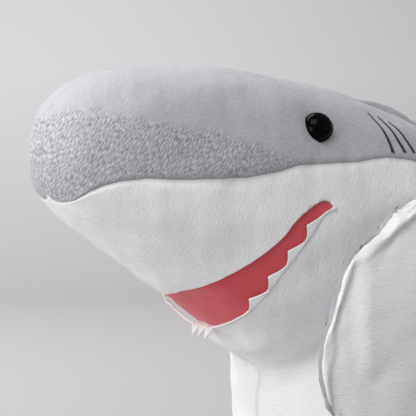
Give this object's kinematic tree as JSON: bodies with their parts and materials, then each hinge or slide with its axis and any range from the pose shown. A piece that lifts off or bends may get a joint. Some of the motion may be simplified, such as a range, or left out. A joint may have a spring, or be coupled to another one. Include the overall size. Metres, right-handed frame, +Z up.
{
  "type": "plush shark",
  "caption": "Large sitting plush shark: grey back, white belly, long blunt snout, red mouth lining with felt teeth, button eyes, stitched gills, stuffed fins that flap and a tail that wags.",
  "frame": {"origin": "on the resting plane, under the chest, in the middle plane of the shark", "axes": "+Z up; +X from the snout towards the tail, so the snout points to -X; the shark's left side is at -Y"},
  "size_m": [1.075, 0.349, 0.4826],
  "materials": {
    "grey_pile": "short plush pile",
    "white_pile": "short plush pile",
    "lining": "ribbed felt",
    "felt": "pressed felt",
    "thread": "satin stitch",
    "stuffing": "loose polyester fibre",
    "eye": "polished",
    "washer": "moulded"
  },
  "bodies": {
    "trunk": {"trunk_stuffing": "stuffing", "trunk_back_left": "grey_pile", "trunk_back_right": "grey_pile", "trunk_side_left": "white_pile", "trunk_side_right": "white_pile", "belly_gusset": "white_pile"},
    "head": {"head_stuffing": "stuffing", "head_back_left": "grey_pile", "head_back_right": "grey_pile", "snout_under": "white_pile", "chin": "white_pile", "mouth_lining": "lining", "tooth_strip": "felt", "eye_left": "eye", "eye_right": "eye", "eye_washer_left": "washer", "eye_washer_right": "washer", "gill_stitch_left_1": "thread", "gill_stitch_left_2": "thread", "gill_stitch_left_3": "thread", "gill_stitch_right_1": "thread", "gill_stitch_right_2": "thread", "gill_stitch_right_3": "thread"},
    "left_fin": {"pectoral_padding_left": "stuffing", "pectoral_outer_left": "white_pile", "pectoral_inner_left": "grey_pile"},
    "right_fin": {"pectoral_padding_right": "stuffing", "pectoral_outer_right": "white_pile", "pectoral_inner_right": "grey_pile"},
    "dorsal_fin": {"dorsal_padding": "stuffing", "dorsal_cover_left": "grey_pile", "dorsal_cover_right": "grey_pile"},
    "tail": {"tail_stuffing": "stuffing", "tail_back_left": "grey_pile", "tail_back_right": "grey_pile", "tail_belly": "white_pile"},
    "tail_fin": {"caudal_padding": "stuffing", "caudal_cover_left": "grey_pile", "caudal_cover_right": "grey_pile"}
  },
  "joints": [
    {"name": "head_nod", "type": "hinge", "parent": "trunk", "child": "head", "pos_m": [-0.042, 0, 0.332], "axis": [0, 1, 0], "range_deg": [-6, 6], "stiffness_Nm_per_rad": 12},
    {"name": "left_fin_flap", "type": "hinge", "parent": "trunk", "child": "left_fin", "pos_m": [0.015, -0.135, 0.364], "axis": [-1, 0, 0], "range_deg": [0, 40], "stiffness_Nm_per_rad": 0.5},
    {"name": "right_fin_flap", "type": "hinge", "parent": "trunk", "child": "right_fin", "pos_m": [0.015, 0.135, 0.364], "axis": [1, 0, 0], "range_deg": [0, 40], "stiffness_Nm_per_rad": 0.5},
    {"name": "dorsal_flop", "type": "hinge", "parent": "trunk", "child": "dorsal_fin", "pos_m": [0.043, 0, 0.45], "axis": [0.7455, 0, -0.6665], "range_deg": [-12, 12], "stiffness_Nm_per_rad": 0.15},
    {"name": "tail_wag", "type": "hinge", "parent": "trunk", "child": "tail", "pos_m": [0.418, 0, 0.09], "axis": [0, 0, 1], "range_deg": [-10, 10], "stiffness_Nm_per_rad": 3},
    {"name": "tail_fin_wag", "type": "hinge", "parent": "tail", "child": "tail_fin", "pos_m": [0.667, 0, 0.1], "axis": [0, 0, 1], "range_deg": [-20, 20], "stiffness_Nm_per_rad": 0.3}
  ]
}
